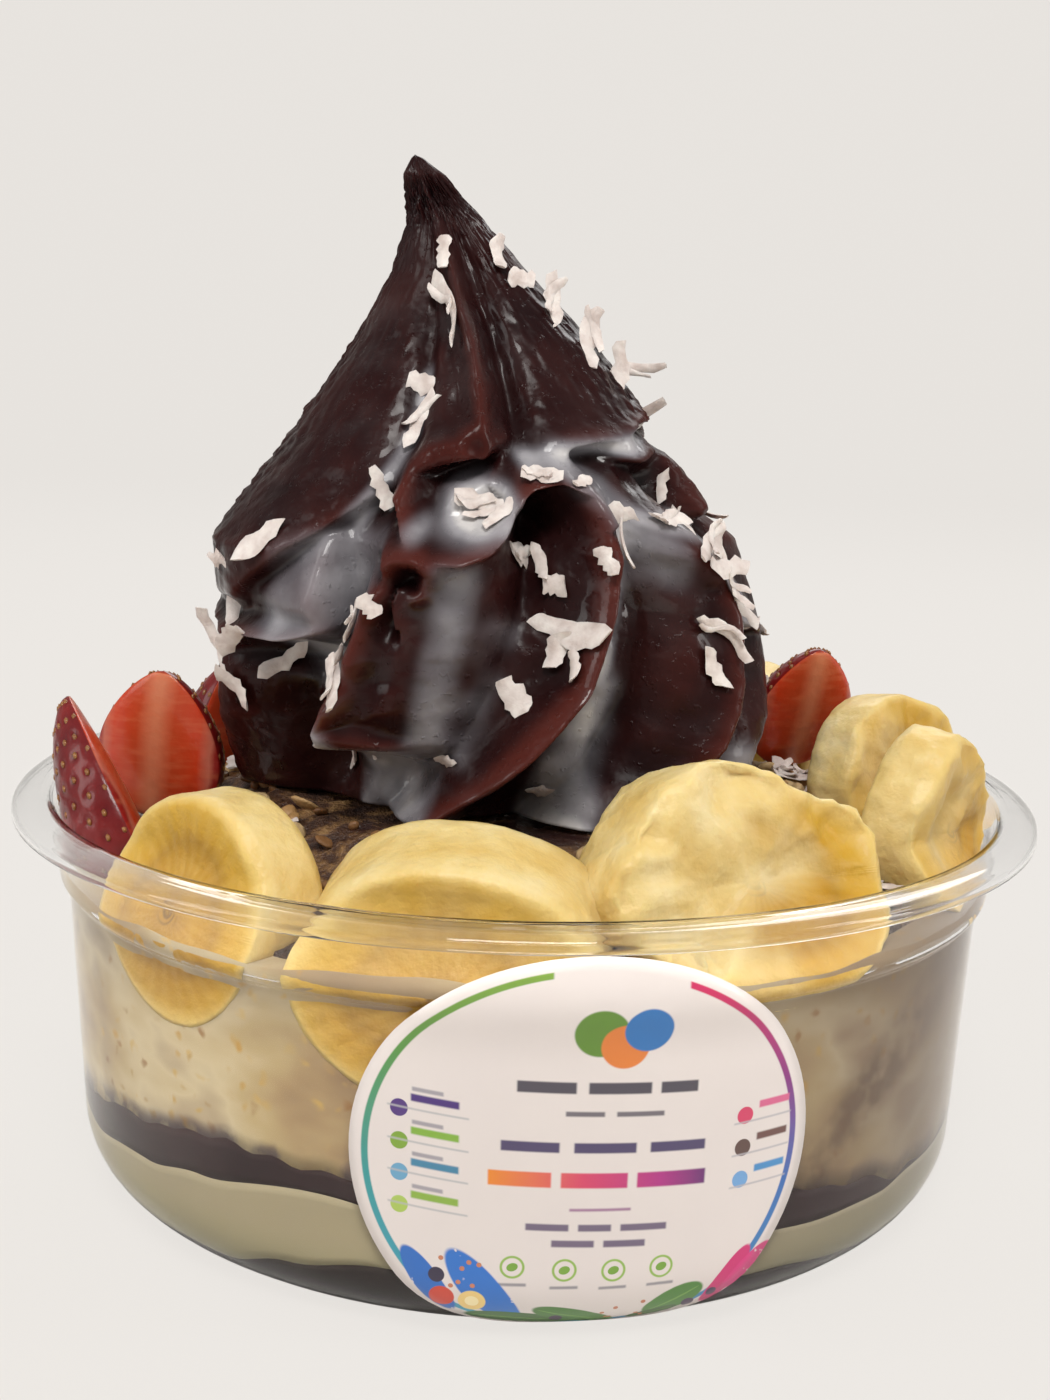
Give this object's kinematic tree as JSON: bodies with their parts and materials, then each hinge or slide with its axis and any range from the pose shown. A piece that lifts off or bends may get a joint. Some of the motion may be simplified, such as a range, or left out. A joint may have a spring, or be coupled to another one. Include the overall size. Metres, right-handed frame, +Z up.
{
  "type": "acai bowl",
  "caption": "Clear plastic bowl of layered acai, cream and granola, ringed with banana slices and strawberries under a tall piped swirl with milk and coconut.",
  "frame": {"origin": "centre of the base, on the surface the bowl stands on", "axes": "+Z up through the swirl; -Y towards the side with the round label; +X to the right of that side"},
  "size_m": [0.1498, 0.1498, 0.1472],
  "materials": {
    "clear_plastic": "thin clear thermoformed plastic",
    "label_paper": "off-white printed sticker",
    "acai": "smooth wet frozen puree",
    "cream": "soft cream",
    "granola": "crumbly toasted grain",
    "banana": "moist fruit",
    "strawberry": "moist fruit"
  },
  "bodies": {
    "root": {"bowl": "clear_plastic", "label": "label_paper", "acai_base": "acai", "cream_lower": "cream", "acai_band": "acai", "cream_upper": "cream", "granola": "granola", "swirl": "acai", "banana_front_left": "banana", "banana_front": "banana", "banana_front_right": "banana", "banana_right": "banana", "banana_right_back": "banana", "banana_back_right": "banana", "banana_back_left": "banana", "strawberry_left": "strawberry", "strawberry_left_back": "strawberry", "strawberry_right_back": "strawberry", "strawberry_back": "strawberry"}
  },
  "joints": []
}
